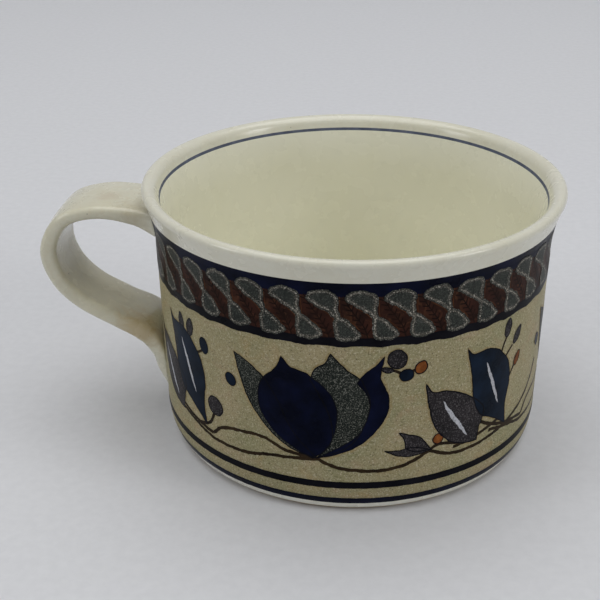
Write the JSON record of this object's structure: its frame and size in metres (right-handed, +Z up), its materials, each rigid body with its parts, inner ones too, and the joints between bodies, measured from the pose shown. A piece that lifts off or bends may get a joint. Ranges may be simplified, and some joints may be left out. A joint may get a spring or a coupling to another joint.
{
  "type": "mug",
  "caption": "Low, wide stoneware mug with a flared, rounded lip, a strap handle on one side, and painted bands with flowers and a rope border under the glaze.",
  "frame": {"origin": "on the cup's axis, in the plane that the foot ring stands on", "axes": "+Z up out of the mouth, -X out through the handle, and the handle's strap lies along the XZ plane"},
  "size_m": [0.1233, 0.0982, 0.063],
  "materials": {
    "bare_stoneware": "matte",
    "cream_glaze": "gloss",
    "navy_underglaze": "gloss",
    "slate_blue_line": "gloss",
    "rope_border": "gloss",
    "tan_ground": "gloss"
  },
  "bodies": {
    "root": {"stoneware_body": "bare_stoneware", "strap_handle": "bare_stoneware", "upper_slip_joint": "cream_glaze", "lower_slip_joint": "cream_glaze", "handle_glaze": "cream_glaze", "foot_glaze": "cream_glaze", "lower_foot_line": "navy_underglaze", "foot_stripe": "tan_ground", "upper_foot_line": "navy_underglaze", "floral_ground": "tan_ground", "rope_edge_line": "navy_underglaze", "rope_band": "rope_border", "navy_band": "navy_underglaze", "rim_line": "slate_blue_line", "interior_glaze": "cream_glaze", "base_glaze": "cream_glaze", "lip_glaze": "cream_glaze"}
  },
  "joints": []
}
